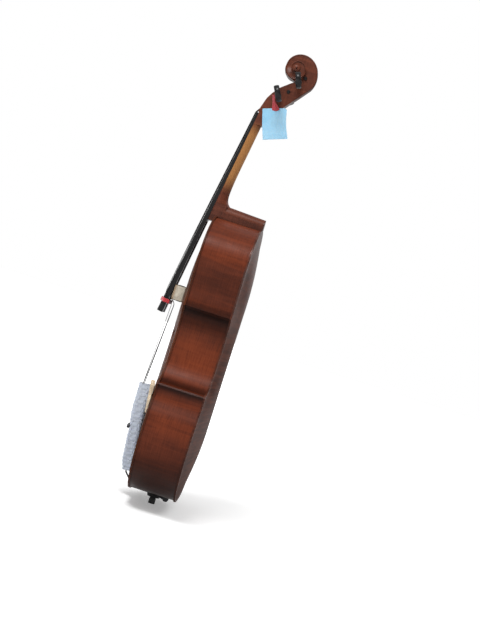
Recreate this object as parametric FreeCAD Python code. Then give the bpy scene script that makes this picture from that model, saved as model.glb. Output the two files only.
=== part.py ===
"""A full-size cello with its bridge laid down for transport, as separate closed solids, one STEP file each.

Frame, in millimetres: +Z up along the body, +X to the treble side, +Y towards the back.
The origin is on the endpin axis, on the ground under the rubber tip.
"""

import FreeCAD, Part
import math
import os
from FreeCAD import Rotation, Vector

# ---------------------------------------------------------------- driving dimensions
BODY_LENGTH = 755.0
LOWER_HALF = 219.0  # half the width of the lower bout
WAIST_HALF = 115.0
UPPER_HALF = 170.0
RIB_HEIGHT = 120.0
RIB_THICK = 1.8
EDGE_THICK = 4.5  # thickness of both plates at their edge
OVERHANG = 3.5  # how far the plates stand out past the ribs
ARCH_RISE = 19.0  # height of the arch above the plate's edge
LINING_THICK = 2.2
LINING_WIDTH = 13.0
TIP_HEIGHT = 18.0
BODY_BOTTOM = TIP_HEIGHT + 11.0  # ground to the plates' lower edge
STOP = 400.0  # top edge of the body to the line between the f-hole notches

NECK_TILT = 8.2  # angle between the fingerboard and the plane of the top, in degrees
NECK_LENGTH = 287.0  # top edge of the body to the nut
OVERSTAND = 18.0  # fingerboard joint above the edge of the top
FINGERBOARD_LENGTH = 580.0
NUT_HALF = 16.0
BOARD_END_HALF = 31.5
BOARD_RADIUS = 60.0
BOARD_SIDE = (5.8, 9.6)  # thickness of its edges at the nut and at the lower end
NUT_LENGTH = 8.0

ROD_RADIUS = 5.0
ROD_LENGTH = 470.0
RUNNING = 0.05  # radial clearance of a turning or sliding fit
GLUE_GAP = 0.02  # keeps glued faces from sharing volume

HALF_RIB = RIB_HEIGHT / 2
BODY_TOP = BODY_BOTTOM + BODY_LENGTH
NUT_Z = BODY_TOP + NECK_LENGTH
GLUE_Y_AT_BODY = -(HALF_RIB + EDGE_THICK + OVERSTAND)
GLUE_Y_AT_NUT = GLUE_Y_AT_BODY + NECK_LENGTH * math.tan(math.radians(NECK_TILT))
SIDES = {"treble": 1, "bass": -1}
STRING_NAMES = ("a", "d", "g", "c")  # treble to bass
STRING_RADIUS = {"a": 0.5, "d": 0.6, "g": 0.75, "c": 0.95}
STRING_SHARE = {"a": 1.0, "d": 1 / 3, "g": -1 / 3, "c": -1.0}  # place across the spread
NUT_SPREAD = 11.5
TAIL_SPREAD = 17.4


# ---------------------------------------------------------------- general helpers
def box(x0, x1, y0, y1, z0, z1):
    return Part.makeBox(x1 - x0, y1 - y0, z1 - z0, Vector(x0, y0, z0))


def rod(start, end, radius):
    run = Vector(end) - Vector(start)
    return Part.makeCylinder(radius, run.Length, Vector(start), run)


def taper(start, end, radius_0, radius_1):
    run = Vector(end) - Vector(start)
    return Part.makeCone(radius_0, radius_1, run.Length, Vector(start), run)


def routed(points, radius):
    """A round cord: straight runs towards the points, joined by arcs as large as the runs allow."""
    points = [Vector(p) for p in points]
    edges, start = [], points[0]
    for before, corner, after in zip(points, points[1:], points[2:]):
        into, out = before - corner, after - corner
        half_turn = (math.pi - into.getAngle(out)) / 2
        if half_turn < 0.002:
            continue
        back = 0.45 * min(into.Length, out.Length)
        bend = back / math.tan(half_turn)
        into.normalize()
        out.normalize()
        first, last = corner + into * back, corner + out * back
        middle = corner + (into + out).normalize() * (bend / math.cos(half_turn) - bend)
        edges += [Part.LineSegment(start, first).toShape(), Part.Arc(first, middle, last).toShape()]
        start = last
    edges.append(Part.LineSegment(start, points[-1]).toShape())
    ring = Part.Wire(Part.makeCircle(radius, points[0], points[1] - points[0]))
    return Part.Wire(edges).makePipeShell([ring], True, True)


def mirror_x(shape):
    return shape.mirror(Vector(0, 0, 0), Vector(1, 0, 0))


def polygon(points):
    return Part.makePolygon([Vector(p) for p in points] + [Vector(points[0])])


def side_profile(points, half_width):
    """A closed polygon of (y, z) points, extruded evenly to both sides of the middle plane."""
    face = Part.Face(polygon([(-half_width, y, z) for y, z in points]))
    return face.extrude(Vector(2 * half_width, 0, 0))


def on_frame(shape, origin, tilt):
    """Moves a shape made about its own origin to the given point, leaned by tilt degrees about X."""
    moved = shape.copy()
    moved.Placement = FreeCAD.Placement(Vector(origin), Rotation(Vector(1, 0, 0), tilt))
    return moved


def save(name, shape):
    solids = shape.Solids
    if not solids or not shape.isValid():
        raise RuntimeError(f"{name}: {len(solids)} solids, valid {shape.isValid()}")
    out = solids[0] if len(solids) == 1 else Part.makeCompound(solids)
    out.exportStep(f"parts/{name}.step")


# ---------------------------------------------------------------- body outline
def plan_curve(points):
    """A smooth curve in the XZ plane through the points, given from the body's lower edge."""
    curve = Part.BSplineCurve()
    curve.interpolate([Vector(x, 0, BODY_BOTTOM + z) for x, z in points])
    return curve.toShape()


def across(points):
    """The points of a bout from the middle plane to a corner, with their mirror images before them."""
    return [(-x, z) for x, z in reversed(points[1:])] + points


def body_outline():
    """The plates' closed outline: two bouts and two waists, with a square tip at each corner."""
    length, low, mid, up = BODY_LENGTH, LOWER_HALF, WAIST_HALF, UPPER_HALF
    low_tip = (0.885 * low, 0.392 * length)
    mid_low = (0.862 * low, 0.4015 * length)
    mid_up = (0.868 * up, 0.663 * length)
    up_tip = (0.895 * up, 0.670 * length)
    lower = plan_curve(across([
        (0, 0), (0.21 * low, 0.0022 * length), (0.42 * low, 0.012 * length), (0.758 * low, 0.066 * length),
        (0.95 * low, 0.135 * length), (low, 0.215 * length), (0.955 * low, 0.302 * length),
        (0.866 * low, 0.358 * length), low_tip,
    ]))
    waist = plan_curve([
        mid_low, (1.348 * mid, 0.415 * length), (1.104 * mid, 0.46 * length), (mid, 0.535 * length),
        (1.043 * mid, 0.605 * length), (1.13 * mid, 0.6295 * length), (1.2 * mid, 0.6475 * length), mid_up,
    ])
    upper = plan_curve(across([
        (0, length), (0.194 * up, 0.9976 * length),
        (0.388 * up, 0.9894 * length), (0.576 * up, 0.974 * length),
        (0.741 * up, 0.952 * length), (0.941 * up, 0.9 * length), (up, 0.84 * length),
        (0.9235 * up, 0.7656 * length), (0.868 * up, 0.7026 * length), up_tip,
    ]))

    def tip(a, b):
        return Part.makeLine(Vector(a[0], 0, BODY_BOTTOM + a[1]), Vector(b[0], 0, BODY_BOTTOM + b[1]))

    one_side = [tip(low_tip, mid_low), waist, tip(mid_up, up_tip)]
    return Part.Wire(Part.__sortEdges__([lower, upper] + one_side + [mirror_x(e) for e in one_side]))


OUTLINE = body_outline()
CORNER_HEIGHTS = {"lower": BODY_BOTTOM + 0.397 * BODY_LENGTH, "upper": BODY_BOTTOM + 0.6665 * BODY_LENGTH}
CORNER_HALF = {"lower": 0.875 * LOWER_HALF, "upper": 0.88 * UPPER_HALF}


def smooth_runs(wire):
    """The wire's points as runs between its sharp corners, evenly thinned."""
    legs = [edge.discretize(max(3, int(edge.Length / 7))) for edge in wire.OrderedEdges]
    for k, leg in enumerate(legs):
        before = legs[k - 1][-1]
        if min((leg[0] - p).Length for p in (legs[k - 1][0], before)) > (leg[-1] - before).Length:
            leg.reverse()
    turns = []
    for k, leg in enumerate(legs):
        into, out = legs[k - 1][-1] - legs[k - 1][-2], leg[1] - leg[0]
        turns.append(math.degrees(into.getAngle(out)) > 20)
    first = turns.index(True)
    runs = []
    for k in range(len(legs)):
        leg = legs[(first + k) % len(legs)]
        if turns[(first + k) % len(legs)]:
            runs.append([leg[0]])
        runs[-1] += leg[1:]
    for run in runs:
        kept = [run[0]]
        for point in run[1:-1]:
            if min((point - kept[-1]).Length, (point - run[-1]).Length) > 3:
                kept.append(point)
        run[:] = kept + [run[-1]]
    return runs


def inset_face(inset):
    """The body outline moved in by inset, rebuilt from one smooth curve between each pair of corners."""
    if not inset:
        return Part.Face(OUTLINE)
    edges = []
    for run in smooth_runs(Part.Face(OUTLINE).makeOffset2D(-inset).OuterWire):
        if len(run) == 2:
            edges.append(Part.makeLine(*run))
        else:
            curve = Part.BSplineCurve()
            curve.interpolate(run)
            edges.append(curve.toShape())
    return Part.Face(Part.Wire(Part.__sortEdges__(edges)))


def slab(inset, y0, y1):
    """The body outline, moved in by inset, as a solid between two depths."""
    return inset_face(inset).translated(Vector(0, y0, 0)).extrude(Vector(0, y1 - y0, 0))


# ---------------------------------------------------------------- arched plates
ARCH_HALF = [  # (height share, half width of the arched part) along the body
    (-0.02, 30), (0.016, 95), (0.066, 150), (0.135, 193), (0.215, 204), (0.302, 192), (0.384, 148),
    (0.454, 112), (0.535, 104), (0.605, 108), (0.669, 127), (0.742, 146), (0.84, 158), (0.9, 146),
    (0.955, 111), (0.984, 70),
    (1.02, 30),
]
END_RAMP = 190.0  # length over which the arch rises from each end of the body
END_FLAT = 9.0
INNER_DROP = 0.8  # the plate's inner surface under its glue plane, before the arch rises


def smooth_table(table, at):
    """Catmull-Rom value of a short table of (place, value) pairs."""
    at = min(max(at, table[0][0]), table[-1][0] - 1e-9)
    i = next(k for k in range(len(table) - 1) if table[k + 1][0] > at)
    (x0, v0), (x1, v1) = table[i], table[i + 1]
    before = table[i - 1] if i else table[i]
    after = table[i + 2] if i + 2 < len(table) else table[i + 1]
    slope_0 = (v1 - before[1]) / (x1 - before[0])
    slope_1 = (after[1] - v0) / (after[0] - x0)
    t, span = (at - x0) / (x1 - x0), x1 - x0
    return (
        (2 * t**3 - 3 * t**2 + 1) * v0 + (t**3 - 2 * t**2 + t) * span * slope_0
        + (3 * t**2 - 2 * t**3) * v1 + (t**3 - t**2) * span * slope_1
    )


def swell(t):
    """0 at the edge to 1 at the crown, level at both ends, with the scoop near the edge."""
    t = min(max(t, 0.0), 1.0) ** 0.72
    return t * t * (3 - 2 * t)


def arch(x, z):
    """Height of the arch above the plate's flat edge, at a place on the plate."""
    share = (z - BODY_BOTTOM) / BODY_LENGTH
    across = swell(1 - abs(x) / smooth_table(ARCH_HALF, share))
    end = min(z - BODY_BOTTOM, BODY_TOP - z) - END_FLAT
    return ARCH_RISE * across * swell(end / END_RAMP) ** 0.8


def arch_solid(base, scale=1.0):
    """Everything under the surface y = base + scale * arch, down to well below it."""
    step, margin, depth = 12.5, 25.0, 30.0
    columns = int(2 * (LOWER_HALF + margin) / step) + 1
    rows = int((BODY_LENGTH + 3 * margin) / step) + 1
    grid = []
    for i in range(columns + 1):
        x = -(LOWER_HALF + margin) + i * 2 * (LOWER_HALF + margin) / columns
        heights = [BODY_BOTTOM - margin + j * (BODY_LENGTH + 3 * margin) / rows for j in range(rows + 1)]
        grid.append([Vector(x, base + scale * arch(x, z), z) for z in heights])
    surface = Part.BSplineSurface()
    surface.interpolate(grid)
    return surface.toShape().extrude(Vector(0, -depth, 0))


def bare_plate():
    """One arched plate, its glue face on y = 0 and its arch towards +Y."""
    blank = slab(0, 0, EDGE_THICK + ARCH_RISE + 2)
    return blank.common(arch_solid(EDGE_THICK)).cut(arch_solid(-INNER_DROP))


PURFLING_INSET = 4.2
PURFLING_WIDTH = 1.4
PURFLING_DEPTH = 2.0


def edge_ring(y0, y1):
    """A band that follows the edge where the purfling lies, between two depths."""
    return slab(PURFLING_INSET, y0, y1).cut(slab(PURFLING_INSET + PURFLING_WIDTH, y0 - 1, y1 + 1))


def f_hole(side):
    """The cutter for one f-hole: two round eyes joined by a curved slot, with a nick each side."""
    middle = BODY_TOP - STOP
    top_eye, low_eye = (52, middle + 66), (101, middle - 62)
    spine = [(52, middle + 77), (66, middle + 74), (70, middle + 50), (72, middle + 20), (78, middle - 12),
             (84, middle - 44), (89, middle - 68), (101, middle - 73)]
    widths = [2.2, 3.4, 4.2, 5.0, 5.0, 4.4, 3.4, 2.2]
    deep = EDGE_THICK + ARCH_RISE + 6

    def point(x, z):
        return Vector(side * x, 0, z)

    left, right = [], []
    for k, ((x, z), half) in enumerate(zip(spine, widths)):
        ahead, behind = spine[min(k + 1, len(spine) - 1)], spine[max(k - 1, 0)]
        run = Vector(ahead[0] - behind[0], 0, ahead[1] - behind[1]).normalize()
        across = Vector(-run.z, 0, run.x) * half
        left.append(point(x + across.x, z + across.z))
        right.append(point(x - across.x, z - across.z))
    curves = []
    for line in (left, right):
        curve = Part.BSplineCurve()
        curve.interpolate(line)
        curves.append(curve.toShape())
    ends = [Part.makeLine(left[0], right[0]), Part.makeLine(left[-1], right[-1])]
    slot = Part.Face(Part.Wire(Part.__sortEdges__(curves + ends))).extrude(Vector(0, deep, 0))
    eyes = [
        Part.makeCylinder(radius, deep, point(*centre), Vector(0, 1, 0))
        for centre, radius in ((top_eye, 10.5), (low_eye, 12.0))
    ]
    nicks = box(*sorted((side * 67, side * 82)), 0, deep, middle - 1, middle + 1)
    return slot.fuse(eyes + [nicks])


def front_place(shape):
    """Moves a plate part made with its arch towards +Y to the front of the body."""
    return shape.mirror(Vector(0, 0, 0), Vector(0, 1, 0)).translated(Vector(0, -HALF_RIB, 0))


def button():
    """The half-round tab at the top of the back, under the neck's heel."""
    radius = 19.0
    tab = Part.makeCylinder(radius, EDGE_THICK, Vector(0, HALF_RIB, BODY_TOP + 9.5), Vector(0, 1, 0))
    return tab.fuse(box(-radius, radius, HALF_RIB, HALF_RIB + EDGE_THICK, BODY_TOP - 5, BODY_TOP + 9.5))


SADDLE = box(-19, 19, -HALF_RIB - EDGE_THICK - 5, -HALF_RIB, BODY_BOTTOM, BODY_BOTTOM + 9)


# ---------------------------------------------------------------- ribs and inner work
def rib_band(outer_inset, inner_inset, y0, y1):
    return slab(outer_inset, y0, y1).cut(slab(inner_inset, y0 - 1, y1 + 1))


def rib_zones():
    """Six boxes that part the rib garland at the corners and on the middle plane."""
    low, high = CORNER_HEIGHTS["lower"], CORNER_HEIGHTS["upper"]
    spans = {"lower_bout": (BODY_BOTTOM - 5, low), "waist": (low, high), "upper_bout": (high, BODY_TOP + 5)}
    for bout, (z0, z1) in spans.items():
        for side, sign in SIDES.items():
            x0, x1 = sorted((0, sign * (LOWER_HALF + 10)))
            yield f"{bout}_rib_{side}", box(x0, x1, -HALF_RIB, HALF_RIB, z0, z1)


INNER_INSET = OVERHANG + RIB_THICK + GLUE_GAP
BLOCK_Y = HALF_RIB - GLUE_GAP


def corner_blocks():
    """Four blocks that fill the corners inside the ribs."""
    inside = slab(INNER_INSET, -BLOCK_Y, BLOCK_Y)
    blocks = []
    for corner, z in CORNER_HEIGHTS.items():
        for sign in SIDES.values():
            x0, x1 = sorted((sign * (CORNER_HALF[corner] - 42), sign * (CORNER_HALF[corner] + 12)))
            blocks.append(inside.common(box(x0, x1, -BLOCK_Y, BLOCK_Y, z - 24, z + 24)))
    return Part.makeCompound([solid for block in blocks for solid in block.Solids])


def end_block(z0, z1, half_width):
    zone = box(-half_width, half_width, -BLOCK_Y, BLOCK_Y, z0, z1)
    return slab(INNER_INSET, -BLOCK_Y, BLOCK_Y).common(zone)


def linings(y0, y1, blocks):
    """The strips along the ribs' inner edges, between the blocks."""
    band = rib_band(INNER_INSET, INNER_INSET + LINING_THICK, y0, y1)
    clear = [box(b.BoundBox.XMin - GLUE_GAP, b.BoundBox.XMax + GLUE_GAP, y0 - 1, y1 + 1,
                 b.BoundBox.ZMin - GLUE_GAP, b.BoundBox.ZMax + GLUE_GAP) for b in blocks]
    return band.cut(clear)


def bass_bar():
    """The long spruce bar glued under the bass side of the top."""
    z0, z1 = BODY_BOTTOM + 90, BODY_TOP - 90
    blank = box(-56, -45, -2, 24, z0, z1)
    under_top = blank.common(arch_solid(-INNER_DROP - GLUE_GAP))
    belly = arch_solid(-24.0, 0.6)
    return front_place(under_top.cut(belly))


def sound_post():
    """The loose dowel that stands between the plates behind the treble foot of the bridge."""
    x, z, radius = 42.0, BODY_TOP - STOP - 10, 5.5
    reach = HALF_RIB + ARCH_RISE
    post = rod((x, -reach, z), (x, reach, z), radius)
    inside_back = arch_solid(-INNER_DROP - GLUE_GAP).translated(Vector(0, HALF_RIB, 0))
    inside_front = front_place(arch_solid(-INNER_DROP - GLUE_GAP))
    centre = box(x - 9, x + 9, -HALF_RIB + 12, HALF_RIB - 12, z - 9, z + 9)
    return post.common(inside_back.fuse([inside_front, centre]))


# ---------------------------------------------------------------- neck, pegbox and scroll
EYE = (20.5, NUT_Z + 148)  # (y, z) of the scroll's eye
SCROLL_BACK = -38.0  # angle where the pegbox's back runs into the scroll, degrees from +Y towards +Z
SCROLL_FRONT = 168.0  # angle from which the scroll's front keeps one radius
SCROLL_CHIN = 243.0  # angle where the first turn meets the pegbox again
SCROLL_INSIDE = 640.0  # angle where the last turn meets the eye
SCROLL_RADII = (65.0, 29.5, 8.0)  # at the back, round the front, and at the eye
# y and height over the nut of each peg
PEG_PLACES = {"a": (-4.0, 63.0), "c": (18.0, 84.0), "d": (37.0, 112.0), "g": (50.0, 131.0)}
PEG_TURN = {"a": 28.0, "d": 20.0, "g": 24.0, "c": 40.0}  # lean of each thumb piece, in degrees
THUMB_RADIUS = 22.0
THUMB_THICK = 14.4
PEG_SIDE = {"a": 1, "d": 1, "g": -1, "c": -1}
PEG_REACH = 17.6  # far end of a peg from the middle plane
PEG_RADII = (6.9, 4.6)  # at the collar and at the far end


def half_ellipse(half_width, y, depth, z):
    """A flat-fronted D in the plane at height z, rounded towards +Y."""
    arc = Part.Arc(Vector(half_width, y, z), Vector(0, y + depth, z), Vector(-half_width, y, z)) \
        if abs(half_width - depth) < 1e-6 else None
    if arc is None:
        long_side, short_side = max(half_width, depth), min(half_width, depth)
        major = Vector(1, 0, 0) if half_width >= depth else Vector(0, 1, 0)
        minor = Vector(0, 1, 0) if half_width >= depth else Vector(-1, 0, 0)
        ellipse = Part.Ellipse(Vector(0, y, z) + major * long_side,
                               Vector(0, y, z) + minor * short_side, Vector(0, y, z))
        ends = sorted(ellipse.parameter(Vector(s * half_width, y, z)) for s in (1, -1))
        middle = ellipse.parameter(Vector(0, y + depth, z))
        if not ends[0] < middle < ends[1]:
            ends = [ends[1], ends[0] + 2 * math.pi]
        arc = Part.ArcOfEllipse(ellipse, ends[0], ends[1])
    arc_edge = arc.toShape()
    chord = Part.makeLine(arc_edge.Vertexes[0].Point, arc_edge.Vertexes[-1].Point)
    return Part.Wire([arc_edge, chord])


def neck_half(z):
    """Half width of the neck at a height, along the fingerboard's taper."""
    share = (NUT_Z - z) / NECK_LENGTH
    return 16.4 + 5.6 * share


def glue_y(z):
    return GLUE_Y_AT_BODY + (z - BODY_TOP) * math.tan(math.radians(NECK_TILT))


def neck_shaft():
    """The round-backed handle of the neck, flaring into the heel."""
    depth_above_body = [(30, 46), (38, 34), (52, 26), (75, 22.5),
                        (150, 20.5), (230, 20.5), (NECK_LENGTH, 20.5)]
    wires = [
        half_ellipse(neck_half(BODY_TOP + up), glue_y(BODY_TOP + up), depth, BODY_TOP + up)
        for up, depth in depth_above_body
    ]
    return Part.makeLoft(wires, True, False)


def heel():
    """The root of the neck: a round-topped foot that reaches from the fingerboard to the back's button."""
    root_z = BODY_TOP - OVERHANG - 12

    def arch_wire(y, radius, top):
        centre = top - radius
        arc = Part.Arc(Vector(radius, y, centre), Vector(0, y, top), Vector(-radius, y, centre)).toShape()
        return Part.Wire([
            Part.makeLine(Vector(radius, y, root_z), Vector(radius, y, centre)),
            arc,
            Part.makeLine(Vector(-radius, y, centre), Vector(-radius, y, root_z)),
            Part.makeLine(Vector(-radius, y, root_z), Vector(radius, y, root_z)),
        ])

    back_end, front_end = arch_wire(HALF_RIB, 19, BODY_TOP + 28.5), arch_wire(-45, 21, BODY_TOP + 33.5)
    foot = Part.makeLoft([back_end, front_end], True, True)
    # the block under the fingerboard leans with it
    front = side_profile(
        [(-44.99, root_z), (glue_y(root_z), root_z),
         (glue_y(BODY_TOP + 33), BODY_TOP + 33), (-44.99, BODY_TOP + 33)],
        neck_half(BODY_TOP + 33),
    )
    return foot.fuse(front)


def scroll_radius(angle):
    """Distance from the eye to the spiral, at an angle in degrees."""
    outer, front, eye = SCROLL_RADII
    if angle < SCROLL_FRONT:
        return front + (outer - front) * (1 - (angle - SCROLL_BACK) / (SCROLL_FRONT - SCROLL_BACK)) ** 1.2
    if angle < SCROLL_CHIN:
        return front
    share = min((angle - SCROLL_CHIN) / (SCROLL_INSIDE - SCROLL_CHIN), 1.0)
    return front - (front - eye) * share**1.3


def spiral_point(angle, x, inset=0.0):
    """A point on the scroll's spiral, angle in radians from +Y towards +Z, shrinking as it turns."""
    radius = scroll_radius(math.degrees(angle)) - inset
    return Vector(x, EYE[0] + radius * math.cos(angle), EYE[1] + radius * math.sin(angle))


def spiral_curve(start, end, x, inset=0.0):
    curve = Part.BSplineCurve()
    count = int((end - start) / math.radians(20)) + 1
    curve.interpolate([spiral_point(start + (end - start) * k / count, x, inset) for k in range(count + 1)])
    return curve.toShape()


def volute_turn(start, half_width, inset):
    """One whole turn of the spiral, filled, standing out evenly to both sides."""
    end = start + 2 * math.pi
    rim = spiral_curve(start, end, -half_width, inset)
    step = Part.makeLine(spiral_point(start, -half_width, inset), spiral_point(end, -half_width, inset))
    return Part.Face(Part.Wire([rim, step])).extrude(Vector(2 * half_width, 0, 0))


def pegbox_side():
    """The side view of the pegbox and the scroll's first turn, as a face on the middle plane."""
    back_start, chin = math.radians(SCROLL_BACK), math.radians(SCROLL_CHIN)
    rim = spiral_curve(back_start, chin, 0)
    first, last = rim.Vertexes[0].Point, rim.Vertexes[-1].Point
    if (first - spiral_point(back_start, 0)).Length > 1:
        first, last = last, first
    throat = [(27.5, 115.5), (14.5, 105.5), (-6, 89), (-22.5, 68.5), (-32, 52), (-39, 29), (-43.5, 13)]
    front = [last] + [Vector(0, y, NUT_Z + up) for y, up in throat] \
        + [Vector(0, glue_y(NUT_Z + 8.6), NUT_Z + 8.6)]
    back = [Vector(0, GLUE_Y_AT_NUT + 20.5, NUT_Z - 26), Vector(0, 18, NUT_Z + 40)]
    corners = front + [Vector(0, glue_y(NUT_Z - 26), NUT_Z - 26)] + back + [first]
    edges = [rim] + [Part.makeLine(a, b) for a, b in zip(corners, corners[1:])]
    return Part.Face(Part.Wire(Part.__sortEdges__(edges)))


def pegbox_cavity():
    """The slot between the pegbox cheeks, open to the front, a little wider at the nut."""
    floor = [(-60, NUT_Z + 10), (-30, NUT_Z + 10), (-12, NUT_Z + 26), (9, NUT_Z + 48), (55, NUT_Z + 105),
             (60, NUT_Z + 124), (57, NUT_Z + 142), (43, NUT_Z + 143), (31, NUT_Z + 121), (-60, NUT_Z + 74)]
    plan = [(-12.8, NUT_Z + 5), (12.8, NUT_Z + 5), (9.5, NUT_Z + 60), (9.5, NUT_Z + 170), (-9.5, NUT_Z + 170),
            (-9.5, NUT_Z + 60)]
    width = Part.Face(polygon([(x, -100, z) for x, z in plan])).extrude(Vector(0, 250, 0))
    return side_profile(floor, 20).common(width)


def pegbox_and_scroll():
    side = pegbox_side()
    block = side.translated(Vector(-17, 0, 0)).extrude(Vector(34, 0, 0))
    # cheeks taper from the nut to the scroll
    taper_plan = [(-17, NUT_Z - 23), (17, NUT_Z - 23), (17, NUT_Z), (15, NUT_Z + 110), (13, NUT_Z + 150),
                  (13, NUT_Z + 250), (-13, NUT_Z + 250), (-13, NUT_Z + 150), (-15, NUT_Z + 110), (-17, NUT_Z)]
    plan = Part.Face(polygon([(x, -100, z) for x, z in taper_plan])).extrude(Vector(0, 250, 0))
    volutes = [volute_turn(math.radians(SCROLL_CHIN), 19, 0.7), volute_turn(math.radians(420), 24, 1.4)]
    eye = Part.makeCylinder(SCROLL_RADII[2], 62, Vector(-31, EYE[0], EYE[1]), Vector(1, 0, 0))
    return block.common(plan).fuse(volutes + [eye]).cut(pegbox_cavity())


def peg_point(name, x):
    y, height = PEG_PLACES[name]
    return Vector(x, y, NUT_Z + height)


def peg_bore(name):
    sign = PEG_SIDE[name]
    return taper(peg_point(name, sign * 30), peg_point(name, -sign * 30), PEG_RADII[0] + RUNNING + 0.2,
                 PEG_RADII[1] + RUNNING - 0.2)


def peg(name):
    """A tapered peg: shaft, collar, stem and a thumb piece, a slice of a ball, turned about the shaft."""
    sign = PEG_SIDE[name]
    # the shaft's taper is the bore's, drawn in by the running clearance
    wide, slim = PEG_RADII[0] + 0.2, PEG_RADII[1] - 0.2
    shaft = taper(peg_point(name, sign * 30), peg_point(name, -sign * 30), wide, slim)
    keep_x = sorted((sign * 30, -sign * PEG_REACH))
    keep = box(keep_x[0], keep_x[1], -200, 200, NUT_Z - 50, NUT_Z + 250)
    shaft = shaft.common(keep)
    collar = rod(peg_point(name, sign * 26), peg_point(name, sign * 32), 9.0)
    stem = taper(peg_point(name, sign * 32), peg_point(name, sign * 52), 5.5, 6.5)
    centre = peg_point(name, sign * 68)
    half = THUMB_THICK / 2
    slab_box = box(centre.x - 23, centre.x + 23, centre.y - half, centre.y + half, centre.z - 23, centre.z + 23)
    head = Part.makeSphere(THUMB_RADIUS, centre).common(slab_box)
    head.rotate(centre, Vector(1, 0, 0), PEG_TURN[name])
    return shaft.fuse([collar, stem, head]).removeSplitter()


def neck():
    whole = neck_shaft().fuse([heel(), pegbox_and_scroll()]).removeSplitter()
    return whole.cut([peg_bore(name) for name in STRING_NAMES])


# ---------------------------------------------------------------- fingerboard and nut
BOARD_ORIGIN = (0, GLUE_Y_AT_NUT, NUT_Z)


def board_section(half_width, side_thick, z):
    """The fingerboard's section at a distance along it: flat under, round on top."""
    rise = BOARD_RADIUS - math.sqrt(BOARD_RADIUS**2 - half_width**2)
    top = Part.Arc(Vector(half_width, -side_thick, z), Vector(0, -side_thick - rise, z),
                   Vector(-half_width, -side_thick, z)).toShape()
    return Part.Wire([
        Part.makeLine(Vector(-half_width, 0, z), Vector(half_width, 0, z)),
        Part.makeLine(Vector(half_width, 0, z), Vector(half_width, -side_thick, z)),
        top,
        Part.makeLine(Vector(-half_width, -side_thick, z), Vector(-half_width, 0, z)),
    ])


def fingerboard():
    board = Part.makeLoft([board_section(NUT_HALF, BOARD_SIDE[0], 0),
                           board_section(BOARD_END_HALF, BOARD_SIDE[1], -FINGERBOARD_LENGTH)], True, True)
    hollow = Part.makeCylinder(60, 270, Vector(0, 56.5, -FINGERBOARD_LENGTH - 1), Vector(0, 0, 1))
    return on_frame(board.cut(hollow), BOARD_ORIGIN, -NECK_TILT)


def board_side(along):
    """Thickness of the fingerboard's edges at a distance from the nut."""
    return BOARD_SIDE[0] + (BOARD_SIDE[1] - BOARD_SIDE[0]) * along / FINGERBOARD_LENGTH


def board_top(x, along):
    """Height of the fingerboard's top above its glue face, at a place across and along it."""
    share = along / FINGERBOARD_LENGTH
    half = NUT_HALF + (BOARD_END_HALF - NUT_HALF) * share
    side = board_side(along)
    return side + math.sqrt(BOARD_RADIUS**2 - x**2) - math.sqrt(BOARD_RADIUS**2 - half**2)


def board_point(x, above, along):
    """The cello-frame point at a place over the fingerboard's glue face."""
    tilt = math.radians(-NECK_TILT)
    y, z = -above, -along
    return Vector(x, GLUE_Y_AT_NUT + y * math.cos(tilt) - z * math.sin(tilt),
                  NUT_Z + y * math.sin(tilt) + z * math.cos(tilt))


def nut():
    body = Part.makeLoft([board_section(NUT_HALF, 7.4, GLUE_GAP),
                          board_section(NUT_HALF - 0.4, 6.0, NUT_LENGTH)],
                         True, True)
    return on_frame(body, BOARD_ORIGIN, -NECK_TILT)


# ---------------------------------------------------------------- tailpiece and fine tuners
TAIL_TILT = 4.5
TAIL_TOP = (0, -117.0, 292.0)  # the crown of the tailpiece's upper end
TAIL_LENGTH = 226.0
TAIL_HALF = (27.0, 16.5)
SLOT_AT = -30.0
SCREW_AT = -111.0
LEVER_PIVOT_AT = -46.0
LEVER_DEPTH = 8.8  # of the pivot's axis under the tailpiece's crown
TAIL_DEPTH = 11.0
CROWN_RADIUS = 80.0
KNOB_RADIUS = 5.5


def tail_place(shape):
    return on_frame(shape, TAIL_TOP, TAIL_TILT)


def tail_point(x, y, z):
    return FreeCAD.Placement(Vector(TAIL_TOP), Rotation(Vector(1, 0, 0), TAIL_TILT)).multVec(Vector(x, y, z))


def tail_plan(grow, y0, y1, z_top, z_low):
    """The tailpiece's front outline, grown evenly, between two depths."""
    top, low = TAIL_HALF[0] + grow, TAIL_HALF[1] + grow
    points = [(-top, z_top - 6), (-top * 0.6, z_top), (top * 0.6, z_top), (top, z_top - 6), (low, z_low + 6),
              (low * 0.6, z_low), (-low * 0.6, z_low), (-low, z_low + 6)]
    return Part.Face(polygon([(x, y0, z) for x, z in points])).extrude(Vector(0, y1 - y0, 0))


def crown(radius, y, z0, z1):
    return Part.makeCylinder(radius, z1 - z0, Vector(0, y + radius, z0), Vector(0, 0, 1))


def tuner_x(name):
    return STRING_SHARE[name] * TAIL_SPREAD


def crown_drop(x):
    """Depth of the tailpiece's rounded front below its crown."""
    return CROWN_RADIUS - math.sqrt(CROWN_RADIUS**2 - x**2)


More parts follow.
